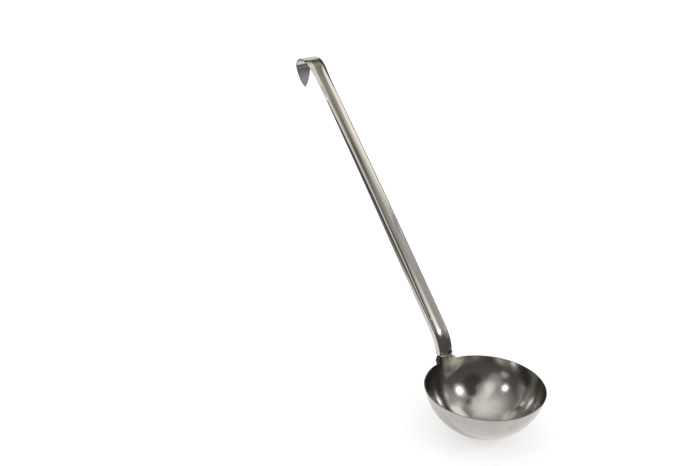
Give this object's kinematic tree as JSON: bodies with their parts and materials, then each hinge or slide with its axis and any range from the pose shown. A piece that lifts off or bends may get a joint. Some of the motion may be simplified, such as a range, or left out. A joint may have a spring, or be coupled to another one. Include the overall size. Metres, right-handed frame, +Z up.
{
  "type": "soup ladle",
  "caption": "Soup ladle: a round stamped bowl whose tang is welded into a long channel handle, ending in a hanging hook.",
  "frame": {"origin": "lowest point of the bowl's outside, straight below the middle of the rim", "axes": "+Z up, square to the rim; +Y the way the handle leans; +X across the handle, to the right when looking along +Y"},
  "size_m": [0.12, 0.3832, 0.2961],
  "materials": {
    "bowl_steel": "stamped stainless sheet, polished inside with fine turning marks, satin outside",
    "handle_steel": "stamped stainless strip, brushed lengthwise to a bright satin",
    "weld_steel": "bare weld metal, slightly heat tinted"
  },
  "bodies": {
    "root": {"bowl": "bowl_steel", "handle": "handle_steel", "spot_welds": "weld_steel", "seam_weld": "weld_steel"}
  },
  "joints": []
}
